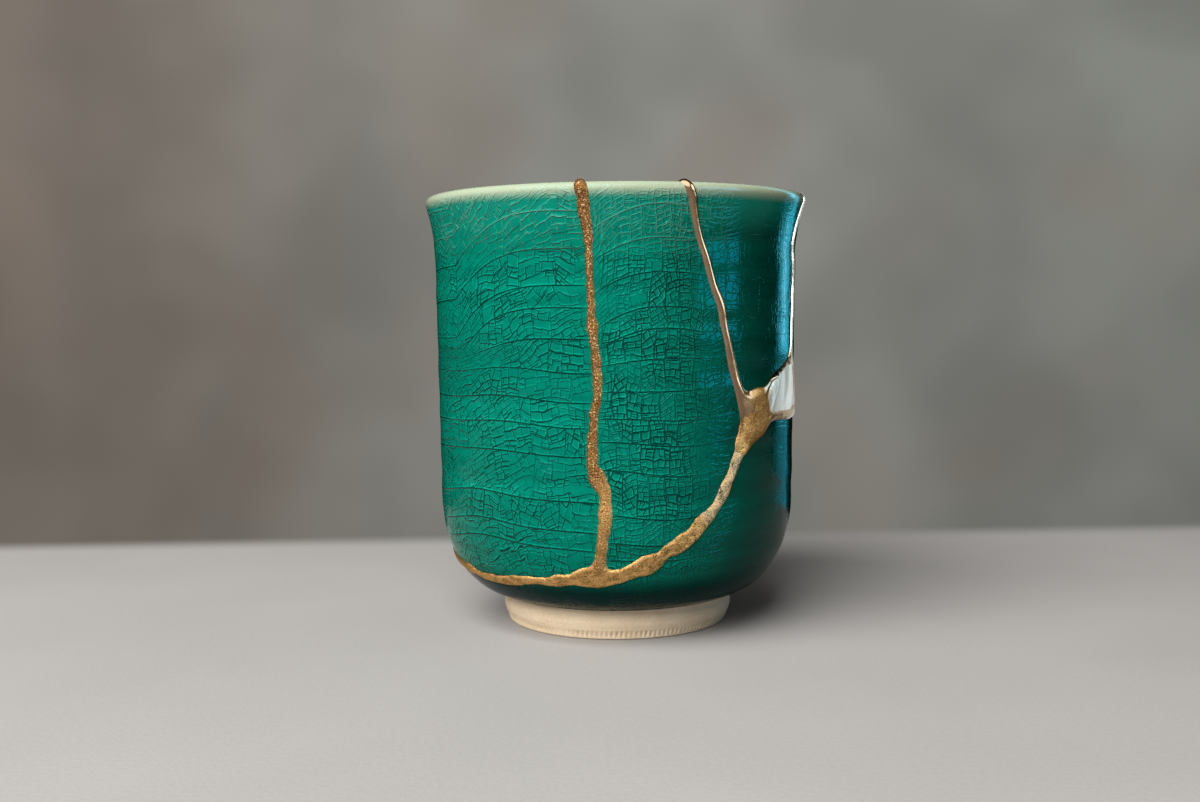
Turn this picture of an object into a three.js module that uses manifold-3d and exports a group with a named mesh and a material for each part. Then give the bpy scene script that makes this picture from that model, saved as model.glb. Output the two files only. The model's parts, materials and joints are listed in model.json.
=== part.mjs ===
// Kintsugi tea cup: a thrown, green-glazed stoneware cup that broke into four shards and was joined again
// with lacquer and gold. A lost chip in the wall is made good with a gilded fill.
//
// Frame: millimetres, +Z up, origin on the table under the middle of the foot. Azimuth 0 faces -Y, the front
// of the cup, and grows towards +X.

import * as THREE from "three";
import { mergeVertices } from "three/addons/utils/BufferGeometryUtils.js";
import Module from "manifold-3d";

// Driving dimensions of the cup
const RIM_RADIUS = 40.0;
const LIP_THICKNESS = 2.6;
const LIP_CENTRE_Z = 88.3;
const FLARE_START_Z = 76.0;
const FLARE_START_RADIUS = 38.1;
const SHOULDER_Z = 27.0; // where the straight wall meets the rounded bottom
const SHOULDER_RADIUS = 37.4;
const BELLY_Z = 6.6; // lowest level of the bowl, on top of the foot
const BELLY_RADIUS = 24.4;
const WALL_THICKNESS = 3.2;
const CORNER_THICKNESS = 4.1;
const FLOOR_THICKNESS = 3.5;

// Driving dimensions of the foot ring
const FOOT_CONTACT_RADIUS = 23.3;
const FOOT_BULGE_RADIUS = 24.35;
const FOOT_NECK_RADIUS = 24.0;
const FOOT_INNER_RADIUS = 19.6;
const FOOT_CHAMFER_Z = 1.8;
const FOOT_CHAMFER_WIDTH = 0.7;
const FOOT_BULGE_Z = 3.5;
const FOOT_NECK_Z = 5.4;
const RECESS_Z = 5.0; // ceiling of the hollow inside the foot ring
const RECESS_CORNER = 0.8;

// How finely the curved surfaces are cut up
const CUP_SEGMENTS = 48;
const CORNER_STEPS = 6;
const FLARE_STEPS = 2;
const LIP_STEPS = 4;
const STATION_STEP = 6.5; // spacing of the sections along a seam
const LIP_SHARES = [0.17, 0.35, 0.48]; // where sections lie on the lip, half way over at 0.5
const MERGE_DISTANCE = 1e-4;

// Driving dimensions of the mend
const SEAM_PROUD = 0.5; // how far the gold stands out from the glaze
const SEAM_SUNK = 0.5; // how far its bead reaches into the broken edges
const SEAM_EDGE = 0.1; // how thick the gold is where its side comes down to the glaze
const SEAM_TOP_SHARE = 0.5; // how much of a bead's width is its flat top
const CRACK_WIDTH = 0.4; // the lacquer between two shards
const FILL_PROUD_OUTSIDE = 0.4;
const FILL_PROUD_INSIDE = 0.3;
const FILL_LOW_Z = 32; // the levels between which the fill lies, with room to spare
const FILL_HIGH_Z = 66;
const CLEARANCE = 0.3;

// Seam routes on the outside: [azimuth in degrees, height, width of the gold]
const LEFT_SEAM = [
  [-5.6, 14.6, 2.6], [-4.5, 21.0, 2.1], [-3.2, 28.0, 2.3], [-5.3, 34.0, 2.3], [-6.9, 39.3, 2.3],
  [-6.3, 46.1, 1.7], [-5.2, 52.9, 1.7], [-6.6, 62.6, 2.0], [-6.7, 67.0, 1.7], [-7.2, 75.1, 1.3],
  [-7.9, 81.8, 2.1], [-8.7, 87.5, 2.5],
];
const RIGHT_SEAM = [
  [44.5, 46.4, 3.0], [42.0, 47.7, 3.0], [38.3, 51.5, 2.1], [34.3, 60.0, 1.7], [31.8, 66.9, 1.8],
  [28.1, 72.9, 1.6], [24.9, 78.9, 1.5], [22.2, 84.7, 1.7], [20.4, 87.7, 2.1],
];
const SIDE_SEAM = [
  [72.4, 53.0, 2.6], [72.4, 58.0, 2.2], [73.4, 64.0, 2.0], [74.0, 71.0, 2.0], [72.3, 80.0, 2.0],
  [76.0, 85.0, 2.1], [78.4, 87.7, 2.3],
];
const RING_SEAM = [
  [77.5, 45.2, 2.6], [90, 44.0, 2.2], [110, 41.0, 2.0], [130, 39.5, 2.2], [150, 35.0, 2.0],
  [175, 31.0, 2.2], [200, 27.5, 2.0], [225, 21.0, 2.3], [250, 17.0, 2.0], [275, 14.8, 2.0],
  [298, 13.3, 1.9], [311, 12.6, 2.0], [324, 13.0, 2.3], [337, 13.6, 2.0], [345, 14.3, 2.6],
  [351, 14.9, 4.2], [356, 14.8, 3.4], [361, 15.3, 3.1], [368.4, 17.2, 3.1], [375.5, 20.2, 2.7],
  [380.4, 21.9, 3.4], [385.4, 25.0, 2.3], [391, 28.5, 2.0], [396.1, 33.8, 2.1], [399.6, 38.3, 2.3],
  [403.8, 42.3, 4.0],
];

// How far a crack's inner edge is turned from its outer edge at the rim, in degrees
const LEFT_LEAN = -1.0;
const RIGHT_LEAN = -2.0;
const SIDE_LEAN = 1.0;

// Outline of the gilded fill on the outside: [azimuth in degrees, height]
const FILL_OUTLINE = [
  [41.3, 45.2], [42.6, 42.3], [44.8, 40.5], [47.2, 41.4], [50.4, 43.1], [54.2, 44.7], [66, 44.5],
  [77.7, 44.1], [80.5, 46.4], [77.2, 50.8], [74.0, 55.2], [70.8, 55.8], [61.5, 53.6], [53.4, 51.1],
  [50.0, 49.1], [45.0, 48.3],
];

const GLAZE = new THREE.MeshStandardMaterial({ color: 0x086b57, roughness: 0.18, metalness: 0 });
const BASE_GLAZE = new THREE.MeshStandardMaterial({ color: 0x065b4b, roughness: 0.2, metalness: 0 });
const SEAM_GOLD = new THREE.MeshStandardMaterial({ color: 0x9a7240, roughness: 0.35, metalness: 1 });
const FILL_GOLD = new THREE.MeshStandardMaterial({ color: 0xc8ab78, roughness: 0.2, metalness: 1 });

const wasm = await Module();
wasm.setup();

const radians = THREE.MathUtils.degToRad;
const LIP_RADIUS = LIP_THICKNESS / 2;
const LIP_CENTRE_RADIUS = RIM_RADIUS - LIP_RADIUS;
const FLARE_ANGLE = radians(17.2); // lean of the wall where it runs into the lip
const FLARE_END_Z = LIP_CENTRE_Z - LIP_RADIUS * Math.sin(FLARE_ANGLE);
const FLARE_END_RADIUS = LIP_CENTRE_RADIUS + LIP_RADIUS * Math.cos(FLARE_ANGLE);

/** Outside of the wall at a height: radius, outward normal and thickness of the wall along it. */
function wallAt(z) {
  if (z < SHOULDER_Z) {
    const drop = SHOULDER_Z - BELLY_Z;
    const reach = SHOULDER_RADIUS - BELLY_RADIUS;
    const turn = Math.asin(Math.min(1, (SHOULDER_Z - z) / drop));
    const normal = new THREE.Vector2(Math.cos(turn) / reach, -Math.sin(turn) / drop).normalize();
    const share = (2 * turn) / Math.PI;
    const lower = THREE.MathUtils.lerp(WALL_THICKNESS, FLOOR_THICKNESS, share);
    const swell = (CORNER_THICKNESS - WALL_THICKNESS) * Math.sin(2 * turn);
    return { r: BELLY_RADIUS + reach * Math.cos(turn), z, normal, thickness: lower + swell };
  }
  const straight = Math.min(1, (z - SHOULDER_Z) / (FLARE_START_Z - SHOULDER_Z));
  const flare = Math.max(0, (z - FLARE_START_Z) / (FLARE_END_Z - FLARE_START_Z));
  const flareReach = FLARE_END_RADIUS - FLARE_START_RADIUS;
  const slope = (2 * flareReach * flare) / (FLARE_END_Z - FLARE_START_Z);
  const r = THREE.MathUtils.lerp(SHOULDER_RADIUS, FLARE_START_RADIUS, straight) + flareReach * flare ** 2;
  const thickness = THREE.MathUtils.lerp(WALL_THICKNESS, LIP_THICKNESS, flare);
  return { r, z, normal: new THREE.Vector2(1, -slope).normalize(), thickness };
}

/** A point a given height above the glaze, outside or inside the wall, as [radius, height]. */
function wallPoint(z, inside, above = 0) {
  const { r, normal, thickness } = wallAt(z);
  const offset = inside ? -thickness - above : above;
  return [r + normal.x * offset, z + normal.y * offset];
}

/** A point a given height above the lip, turned from its outer end (0) to its inner end (1). */
function lipPoint(share, above = 0) {
  const turn = Math.PI * share - FLARE_ANGLE;
  const reach = LIP_RADIUS + above;
  return [LIP_CENTRE_RADIUS + reach * Math.cos(turn), LIP_CENTRE_Z + reach * Math.sin(turn)];
}

/** A point in space from its radius, azimuth and height. */
function at(radius, azimuth, z) {
  return new THREE.Vector3(radius * Math.sin(azimuth), -radius * Math.cos(azimuth), z);
}

/** The closed solid of a geometry, with its shared vertices merged. */
function solidOf(geometry) {
  geometry.deleteAttribute("normal");
  geometry.deleteAttribute("uv");
  const merged = mergeVertices(geometry, MERGE_DISTANCE);
  return new wasm.Manifold(new wasm.Mesh({
    numProp: 3,
    vertProperties: merged.getAttribute("position").array,
    triVerts: new Uint32Array(merged.index.array),
  }));
}

/** A solid lofted through sections with the same number of points, closed by the given triangles. */
function loft(sections, firstCap, lastCap) {
  const count = sections[0].length;
  const positions = sections.flat().flatMap((point) => point.toArray());
  const faces = [];
  for (let i = 0; i + 1 < sections.length; i++) {
    for (let k = 0; k < count; k++) {
      const a = i * count + k;
      const b = i * count + ((k + 1) % count);
      faces.push(a, b, b + count, a, b + count, a + count);
    }
  }
  const last = (sections.length - 1) * count;
  for (const [a, b, c] of firstCap) {
    faces.push(a, c, b);
  }
  for (const [a, b, c] of lastCap) {
    faces.push(last + a, last + b, last + c);
  }
  const geometry = new THREE.BufferGeometry();
  geometry.setAttribute("position", new THREE.Float32BufferAttribute(positions, 3));
  geometry.setIndex(faces);
  return solidOf(geometry);
}

/** The thrown cup, foot ring and hollow included, before it broke. */
function wholeCup() {
  const heights = [];
  for (let i = 1; i <= CORNER_STEPS; i++) {
    heights.push(SHOULDER_Z - (SHOULDER_Z - BELLY_Z) * Math.sin((Math.PI / 2) * (1 - i / CORNER_STEPS)));
  }
  heights.push(FLARE_START_Z);
  for (let i = 1; i <= FLARE_STEPS; i++) {
    heights.push(THREE.MathUtils.lerp(FLARE_START_Z, FLARE_END_Z, i / FLARE_STEPS));
  }
  const outline = [
    [0, RECESS_Z],
    [FOOT_INNER_RADIUS - RECESS_CORNER, RECESS_Z],
    [FOOT_INNER_RADIUS, RECESS_Z - RECESS_CORNER],
    [FOOT_INNER_RADIUS, 0],
    [FOOT_CONTACT_RADIUS, 0],
    [FOOT_CONTACT_RADIUS + FOOT_CHAMFER_WIDTH, FOOT_CHAMFER_Z],
    [FOOT_BULGE_RADIUS, FOOT_BULGE_Z],
    [FOOT_NECK_RADIUS, FOOT_NECK_Z],
    [BELLY_RADIUS, BELLY_Z],
    ...heights.map((z) => wallPoint(z, false)),
    ...Array.from({ length: LIP_STEPS - 1 }, (_, i) => lipPoint((i + 1) / LIP_STEPS)),
    ...heights.toReversed().map((z) => wallPoint(z, true)),
    [BELLY_RADIUS, BELLY_Z + FLOOR_THICKNESS],
    [0, BELLY_Z + FLOOR_THICKNESS],
  ];
  const points = outline.map(([r, z]) => new THREE.Vector2(r, z));
  return solidOf(new THREE.LatheGeometry(points, CUP_SEGMENTS).rotateX(Math.PI / 2));
}

/** Evenly spaced places along a seam's route: azimuth in radians, height and width. */
function placesAlong(route) {
  const points = route.map(([azimuth, z]) => new THREE.Vector3(radians(azimuth) * SHOULDER_RADIUS, z, 0));
  const curve = new THREE.CatmullRomCurve3(points, false, "centripetal");
  const steps = Math.round(curve.getLength() / STATION_STEP);
  return Array.from({ length: steps + 1 }, (_, i) => {
    const along = curve.getUtoTmapping(i / steps);
    const place = curve.getPoint(along);
    const index = Math.min(route.length - 2, Math.floor(along * (route.length - 1)));
    const share = along * (route.length - 1) - index;
    const width = THREE.MathUtils.lerp(route[index][2], route[index + 1][2], share);
    return { azimuth: place.x / SHOULDER_RADIUS, z: place.y, width };
  });
}

/** Half of a seam's section: the bead of gold, or the channel for it, from one side of the crack round. */
function beadOutline(width, clearance) {
  const half = width / 2 + clearance;
  const crack = CRACK_WIDTH / 2 + clearance;
  const sunk = -SEAM_SUNK - clearance;
  const channelTop = [[half, 2 * SEAM_PROUD]];
  const beadTop = [[SEAM_TOP_SHARE * half, SEAM_PROUD], [half, SEAM_EDGE]];
  const top = clearance > 0 ? channelTop : beadTop;
  const right = [...top, [half, sunk], [crack, sunk]];
  return [...right.map(([x, y]) => [-x, y]).reverse(), ...right];
}

/** Where a seam's two edges lie, outside and inside, from its foot to the top of the lip. */
function edgesOf(places, leanAt, overRim) {
  const edge = (azimuth, low, high) => {
    const point = at(low[0], azimuth, low[1]);
    const up = at(high[0], azimuth, high[1]).sub(point);
    return { point, up, through: up };
  };
  const slanted = ({ outer, inner, width }) => {
    const way = inner.point.clone().sub(outer.point);
    const fromOuter = way.clone().divideScalar(way.dot(outer.up));
    const fromInner = way.clone().divideScalar(way.dot(inner.up));
    return { outer: { ...outer, through: fromOuter }, inner: { ...inner, through: fromInner }, width };
  };
  const stations = places.map(({ azimuth, z, width }) => ({
    outer: edge(azimuth, wallPoint(z, false), wallPoint(z, false, 1)),
    inner: edge(azimuth + leanAt(z), wallPoint(z, true), wallPoint(z, true, 1)),
    width,
  }));
  if (!overRim) return stations.map(slanted);
  const { azimuth, width, z } = places.at(-1);
  const onLip = (share) => edge(azimuth + leanAt(z) * share, lipPoint(share), lipPoint(share, 1));
  const lip = LIP_SHARES.map((share) => ({ outer: onLip(share), inner: onLip(1 - share), width }));
  return [...[...stations, lip[0]].map(slanted), ...lip.slice(1)];
}

/** A bead outline laid across a seam's edge, with its two ends on the crack that runs through the wall. */
function laid(outline, edge, along, side) {
  const across = new THREE.Vector3().crossVectors(along, edge.up).setLength(side);
  return outline.map(([x, y], i) => {
    const onCrack = i === 0 || i === outline.length - 1;
    const out = onCrack ? edge.through : edge.up;
    return edge.point.clone().addScaledVector(across, x).addScaledVector(out, y);
  });
}

/** Triangles that close a seam's section, which is shaped like an I: two beads joined by a thin web. */
function sectionCap(half) {
  const apex = half / 2 - 1;
  const beadCap = (start) => Array.from({ length: half - 2 }, (_, k) => [
    start + apex, start + ((apex + k + 1) % half), start + ((apex + k + 2) % half),
  ]);
  return [...beadCap(0), [0, half - 1, half], [0, half, 2 * half - 1], ...beadCap(half)];
}

/** Triangles that join the outer bead to the inner one on top of the lip. */
function lipCap(half) {
  const last = 2 * half - 1;
  const pair = (k) => [[k, k + 1, last - k - 1], [k, last - k - 1, last - k]];
  return Array.from({ length: half - 1 }, (_, k) => pair(k)).flat();
}

/** A whole seam, or the channel for it: a bead outside, a bead inside and the web of lacquer between them. */
function seam(route, lean, overRim, clearance = 0) {
  const places = placesAlong(route);
  const [foot, top] = [places[0].z, places.at(-1).z];
  const leanAt = (z) => radians(lean) * Math.max(0, (z - foot) / (top - foot));
  const edges = edgesOf(places, leanAt, overRim);
  const sections = edges.map(({ outer, inner, width }, i) => {
    const outline = beadOutline(width, clearance);
    const before = edges[Math.max(0, i - 1)];
    const after = edges[Math.min(edges.length - 1, i + 1)];
    const outerAlong = after.outer.point.clone().sub(before.outer.point);
    const innerAlong = after.inner.point.clone().sub(before.inner.point);
    return [
      ...laid(outline, outer, outerAlong, 1),
      ...laid(outline.toReversed(), inner, innerAlong, -1),
    ];
  });
  const half = sections[0].length / 2;
  return loft(sections, sectionCap(half), overRim ? lipCap(half) : sectionCap(half));
}

/** The fill's outline grown by a margin on the glaze, as points of [azimuth in radians, height]. */
function grownOutline(margin) {
  const points = FILL_OUTLINE.map(([azimuth, z]) => new THREE.Vector2(radians(azimuth) * SHOULDER_RADIUS, z));
  return points.map((point, i) => {
    const before = point.clone().sub(points.at(i - 1)).normalize();
    const after = points[(i + 1) % points.length].clone().sub(point).normalize();
    const outward = new THREE.Vector2(before.y + after.y, -before.x - after.x).normalize();
    const mitre = margin / Math.max(0.5, outward.dot(new THREE.Vector2(after.y, -after.x)));
    const moved = point.clone().addScaledVector(outward, mitre);
    return [moved.x / SHOULDER_RADIUS, moved.y];
  });
}

/** A wedge that runs out from inside the cup through the wall, with the fill's outline. */
function fillWedge(margin) {
  const outline = grownOutline(margin);
  const ring = (radius) => outline.map(([azimuth, z]) => at(radius, azimuth, z));
  const contour = outline.map(([azimuth, z]) => new THREE.Vector2(azimuth * SHOULDER_RADIUS, z));
  const caps = THREE.ShapeUtils.triangulateShape(contour, []);
  const [near, far] = [SHOULDER_RADIUS - 3 * WALL_THICKNESS, SHOULDER_RADIUS + 2 * WALL_THICKNESS];
  return loft([ring(near), ring(far)], caps, caps);
}

/** The band of wall that the fill is built up in, a little thicker than the wall itself. */
function fillBand() {
  const outline = [
    wallPoint(FILL_LOW_Z, true, FILL_PROUD_INSIDE),
    wallPoint(FILL_LOW_Z, false, FILL_PROUD_OUTSIDE),
    wallPoint(FILL_HIGH_Z, false, FILL_PROUD_OUTSIDE),
    wallPoint(FILL_HIGH_Z, true, FILL_PROUD_INSIDE),
    wallPoint(FILL_LOW_Z, true, FILL_PROUD_INSIDE),
  ];
  const points = outline.map(([r, z]) => new THREE.Vector2(r, z));
  return solidOf(new THREE.LatheGeometry(points, CUP_SEGMENTS).rotateX(Math.PI / 2));
}

/** A named mesh of a solid. */
function mesh(name, solid, material) {
  const { vertProperties, triVerts } = solid.getMesh();
  const geometry = new THREE.BufferGeometry();
  geometry.setAttribute("position", new THREE.BufferAttribute(vertProperties, 3));
  geometry.setIndex(new THREE.BufferAttribute(triVerts, 1));
  geometry.computeVertexNormals();
  const made = new THREE.Mesh(geometry, material);
  made.name = name;
  return made;
}

/** The four shards, told apart by where they lie. */
function shards(channels) {
  const pieces = wholeCup().subtract(channels).decompose();
  const lowest = (piece) => piece.boundingBox().min[2];
  const rearmost = (piece) => piece.boundingBox().max[1];
  const leftmost = (piece) => piece.boundingBox().min[0];
  const [base, ...upper] = pieces.sort((a, b) => lowest(a) - lowest(b));
  const [back, ...front] = upper.sort((a, b) => rearmost(b) - rearmost(a));
  const [middle, side] = front.sort((a, b) => leftmost(a) - leftmost(b));
  return { base, back, middle, side };
}

const seams = {
  gold_seam_main: [[RING_SEAM, 0, false], [LEFT_SEAM, LEFT_LEAN, true]],
  gold_seam_right: [[RIGHT_SEAM, RIGHT_LEAN, true]],
  gold_seam_side: [[SIDE_SEAM, SIDE_LEAN, true]],
};

/** The runs of one seam joined together, as gold or as the channel for it. */
function joinedSeam(runs, clearance) {
  return runs.map((run) => seam(...run, clearance)).reduce((joined, part) => joined.add(part));
}

const fillChannel = fillWedge(CLEARANCE);
const channels = Object.values(seams)
  .map((runs) => joinedSeam(runs, CLEARANCE))
  .reduce((joined, part) => joined.add(part), fillChannel);
const { base, back, middle, side } = shards(channels);

const cup = new THREE.Group();
cup.add(mesh("base_shard", base, BASE_GLAZE));
cup.add(mesh("back_shard", back, GLAZE));
cup.add(mesh("front_shard", middle, GLAZE));
cup.add(mesh("side_shard", side, GLAZE));
cup.add(mesh("gold_fill", fillWedge(0).intersect(fillBand()), FILL_GOLD));
for (const [name, runs] of Object.entries(seams)) {
  cup.add(mesh(name, joinedSeam(runs, 0).subtract(fillChannel), SEAM_GOLD));
}

export default cup;
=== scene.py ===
"""Kintsugi tea cup: green crackle glaze on a thrown cup, mended with gold seams and a gilded fill.

Shapes are worked out in millimetres on the cup's generating line, which runs from the lowest edge of the
bowl up the outside, over the lip, down the inside and across the floor to the axis. A place on the cup is an
azimuth (0 faces -Y, growing towards +X), a run along that line and a height above the glaze.
"""
import json

import bpy
import numpy as np
from mathutils import Matrix, Vector

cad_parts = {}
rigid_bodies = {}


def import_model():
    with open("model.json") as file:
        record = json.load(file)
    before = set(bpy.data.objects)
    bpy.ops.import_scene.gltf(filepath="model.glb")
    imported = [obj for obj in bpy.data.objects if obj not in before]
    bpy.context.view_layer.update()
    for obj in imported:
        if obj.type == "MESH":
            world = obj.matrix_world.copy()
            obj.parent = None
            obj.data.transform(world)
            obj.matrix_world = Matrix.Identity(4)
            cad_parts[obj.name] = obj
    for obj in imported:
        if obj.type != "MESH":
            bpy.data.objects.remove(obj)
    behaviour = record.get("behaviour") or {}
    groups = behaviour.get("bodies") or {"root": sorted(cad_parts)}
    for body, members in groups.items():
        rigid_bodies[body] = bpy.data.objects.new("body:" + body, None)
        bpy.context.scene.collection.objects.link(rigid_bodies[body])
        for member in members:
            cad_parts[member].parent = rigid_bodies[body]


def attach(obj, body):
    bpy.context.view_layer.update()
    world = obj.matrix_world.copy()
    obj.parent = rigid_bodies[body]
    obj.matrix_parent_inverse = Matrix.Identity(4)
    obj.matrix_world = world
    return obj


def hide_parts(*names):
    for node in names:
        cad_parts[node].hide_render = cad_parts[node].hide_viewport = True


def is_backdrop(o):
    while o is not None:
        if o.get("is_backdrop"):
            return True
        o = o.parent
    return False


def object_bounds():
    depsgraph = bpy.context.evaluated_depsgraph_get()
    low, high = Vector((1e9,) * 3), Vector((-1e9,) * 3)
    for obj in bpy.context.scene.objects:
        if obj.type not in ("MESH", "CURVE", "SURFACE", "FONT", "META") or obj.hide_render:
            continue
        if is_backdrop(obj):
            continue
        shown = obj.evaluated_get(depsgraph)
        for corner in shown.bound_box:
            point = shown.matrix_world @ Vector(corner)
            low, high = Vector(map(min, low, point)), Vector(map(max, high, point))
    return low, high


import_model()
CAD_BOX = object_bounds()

MM = 0.001
PI = np.pi

# The cup's driving dimensions, as in the part
RIM_RADIUS = 40.0
LIP_THICKNESS = 2.6
LIP_CENTRE_Z = 88.3
FLARE_START_Z = 76.0
FLARE_START_RADIUS = 38.1
SHOULDER_Z = 27.0
SHOULDER_RADIUS = 37.4
BELLY_Z = 6.6
BELLY_RADIUS = 24.4
WALL_THICKNESS = 3.2
CORNER_THICKNESS = 4.1
FLOOR_THICKNESS = 3.5
FLARE_ANGLE = np.radians(17.2)
LIP_RADIUS = LIP_THICKNESS / 2
LIP_CENTRE_RADIUS = RIM_RADIUS - LIP_RADIUS
FLARE_END_Z = LIP_CENTRE_Z - LIP_RADIUS * np.sin(FLARE_ANGLE)
FLARE_END_RADIUS = LIP_CENTRE_RADIUS + LIP_RADIUS * np.cos(FLARE_ANGLE)

# Section of the foot ring and of the hollow inside it, from the axis out: [radius, height]
FOOT_LINE = [
    [0.05, 5.0], [4, 5.0], [12, 5.0], [18.6, 5.0], [19.2, 4.82], [19.5, 4.5], [19.6, 4.0], [19.6, 2.2],
    [19.6, 0.45], [19.75, 0.12], [20.1, 0.0], [21.6, 0.0], [22.95, 0.0], [23.2, 0.08], [23.33, 0.3],
]
FOOT_RIB_LINE = [[23.4, 0.5], [23.53, 0.85], [23.67, 1.2], [23.8, 1.55], [23.92, 1.85]]
FOOT_TOP_LINE = [
    [24.02, 2.05], [24.2, 2.6], [24.33, 3.2], [24.34, 3.8], [24.24, 4.5], [24.04, 5.2], [23.96, 5.7],
    [24.0, 6.1], [24.15, 6.4],
]
FOOT_RIBS = 150
FOOT_RIB_DEPTH = 0.24

# How finely the surfaces are cut up
BASE_COLUMNS = 360
RIB_FACTOR = 3  # columns on the ribs of the foot for each column above and below
FOOT_STEP = 0.9
SHARD_STEP = 0.8
GOLD_FINE_STEP = 0.2
GOLD_COARSE_STEP = 0.42
GOLD_LIP_STEP = 0.17
GOLD_INSIDE_STEP = 0.36
FILL_STEP = 0.17

# The mend
CRACK_WIDTH = 0.4
SEAM_SUNK = 0.5
EDGE_OVERLAP = 0.35
JUNCTION_BLEND = 0.7  # over what length two seams run into each other
LEFT_SEAM_PALE_BELOW = 33.0
FILL_PROUD_OUTSIDE = 0.45
FILL_PROUD_INSIDE = 0.3
INSIDE_WIDTH = 0.7  # width of a seam on the inside as a share of its width outside

# Seams on the outside: [azimuth in degrees, height, width of the gold]
LEFT_SEAM = [
    [-5.6, 14.8, 2.9], [-5.1, 18.1, 2.3], [-4.5, 21.0, 2.1], [-3.7, 24.5, 2.3], [-3.2, 27.4, 2.6],
    [-3.2, 30.2, 2.1], [-3.9, 32.1, 2.45], [-5.3, 34.0, 2.3], [-6.7, 36.3, 2.3], [-6.9, 39.3, 2.3],
    [-6.75, 42.3, 1.9], [-6.3, 46.1, 1.7], [-5.4, 49.1, 1.7], [-5.2, 52.9, 1.7], [-5.6, 56.6, 1.7],
    [-6.1, 59.6, 1.5], [-6.6, 62.6, 2.25], [-6.8, 64.8, 1.4], [-6.7, 67.0, 1.7], [-7.1, 71.5, 1.2],
    [-7.2, 75.1, 1.3], [-7.4, 78.8, 1.7], [-7.9, 81.8, 2.1], [-8.2, 84.3, 2.4], [-8.7, 87.5, 2.4],
]
RIGHT_SEAM = [
    [45.5, 46.0, 5.6], [42.9, 47.1, 4.7], [40.2, 49.1, 2.8], [38.3, 51.5, 2.1], [36.9, 54.2, 2.1],
    [35.65, 56.9, 2.0], [34.3, 60.0, 1.6], [33.1, 63.1, 1.7], [31.8, 66.9, 1.9], [29.7, 69.9, 1.6],
    [28.1, 72.9, 1.55], [26.6, 75.9, 1.5], [24.9, 78.9, 1.4], [23.4, 81.8, 1.4], [22.2, 84.7, 1.6],
    [21.5, 86.9, 1.8], [20.9, 87.7, 2.0],
]
SIDE_SEAM = [
    [71.6, 55.5, 1.5], [72.4, 58.0, 1.3], [73.4, 64.0, 1.5], [74.0, 71.0, 1.2], [73.2, 76.0, 1.5],
    [72.3, 80.0, 1.2], [74.0, 83.0, 1.5], [76.0, 85.0, 1.3], [78.2, 87.7, 1.6],
]
LOW_SEAM = [
    [-61.9, 13.35, 1.9], [-58.1, 13.1, 1.6], [-53.7, 12.6, 1.6], [-48.6, 12.6, 2.1], [-44.3, 12.6, 2.0],
    [-36.3, 13.0, 2.4], [-29.3, 13.5, 1.8], [-23.2, 13.55, 2.0], [-18.8, 14.0, 2.8], [-14.6, 14.35, 2.5],
    [-11.9, 14.65, 3.7], [-9.2, 14.9, 4.35], [-6.6, 14.75, 3.9], [-4.1, 14.8, 3.4], [1.0, 15.3, 3.1],
    [5.9, 16.55, 3.0], [8.4, 17.2, 3.1], [10.8, 18.0, 3.5], [13.2, 18.95, 2.6], [15.5, 20.2, 2.7],
    [18.0, 20.8, 3.3], [20.4, 21.9, 3.4], [23.5, 23.3, 2.6], [25.4, 25.0, 2.2],
]
RISING_SEAM = [
    [25.4, 25.0, 2.2], [28.0, 26.4, 2.5], [30.75, 28.2, 1.9], [32.85, 30.05, 2.4], [34.3, 31.9, 2.5],
    [36.1, 33.8, 2.05], [38.0, 36.4, 2.4], [39.6, 38.3, 2.2], [40.9, 39.8, 3.1], [42.6, 41.25, 4.7],
    [44.8, 43.1, 6.8], [47.1, 45.0, 8.6], [47.6, 46.2, 8.4],
]
BACK_SEAM = [
    [77.5, 45.2, 2.4], [90, 44.0, 2.0], [100, 42.2, 2.4], [110, 41.0, 1.9], [120, 40.6, 2.1],
    [130, 39.5, 2.3], [140, 37.0, 1.8], [150, 35.0, 2.1], [163, 33.4, 2.3], [175, 31.0, 2.0],
    [187, 29.8, 2.3], [200, 27.5, 1.9], [212, 24.0, 2.2], [225, 21.0, 2.4], [238, 19.2, 1.9],
    [250, 17.0, 2.1], [263, 15.4, 2.3], [275, 14.8, 1.8], [287, 13.8, 2.1], [298.1, 13.35, 1.9],
]
# The gold along the lower, the upper and the right edge of the fill
FILL_LOW_SEAM = [
    [50.5, 43.4, 1.6], [54.2, 44.4, 1.9], [60, 44.6, 2.0], [66, 44.5, 2.2], [72, 44.4, 2.3],
    [77.5, 45.0, 2.4],
]
FILL_HIGH_SEAM = [
    [47.5, 48.3, 1.3], [50.6, 49.2, 1.2], [53.4, 51.1, 1.3], [57.1, 52.5, 1.0], [61.5, 53.6, 1.1],
    [66.1, 54.7, 1.1], [71.0, 55.6, 1.5],
]
FILL_RIGHT_SEAM = [
    [71.0, 55.6, 1.4], [74.0, 54.6, 1.2], [77.2, 50.8, 1.2], [80.2, 46.6, 1.5], [79.5, 45.2, 1.9],
]
# How many degrees each crack has turned where it leaves the lip on the inside
LEFT_LEAN = -1.0
RIGHT_LEAN = -2.4
SIDE_LEAN = 1.0

# The fill's outline, anticlockwise: [azimuth in degrees, height]
FILL_LEFT_END = [[41.3, 45.2], [42.6, 42.3]]
FILL_LOWER_EDGE = [[44.8, 40.5], [47.2, 41.4], [50.4, 43.1], [54.2, 44.7], [66, 44.5], [77.7, 44.1]]
FILL_RIGHT_EDGE = [[80.5, 46.4], [77.2, 50.8], [74.0, 55.2]]
FILL_UPPER_EDGE = [[70.8, 55.8], [61.5, 53.6], [53.4, 51.1], [50.0, 49.1], [45.0, 48.3]]
FILL_OUTLINE = FILL_LEFT_END + FILL_LOWER_EDGE + FILL_RIGHT_EDGE + FILL_UPPER_EDGE

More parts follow.
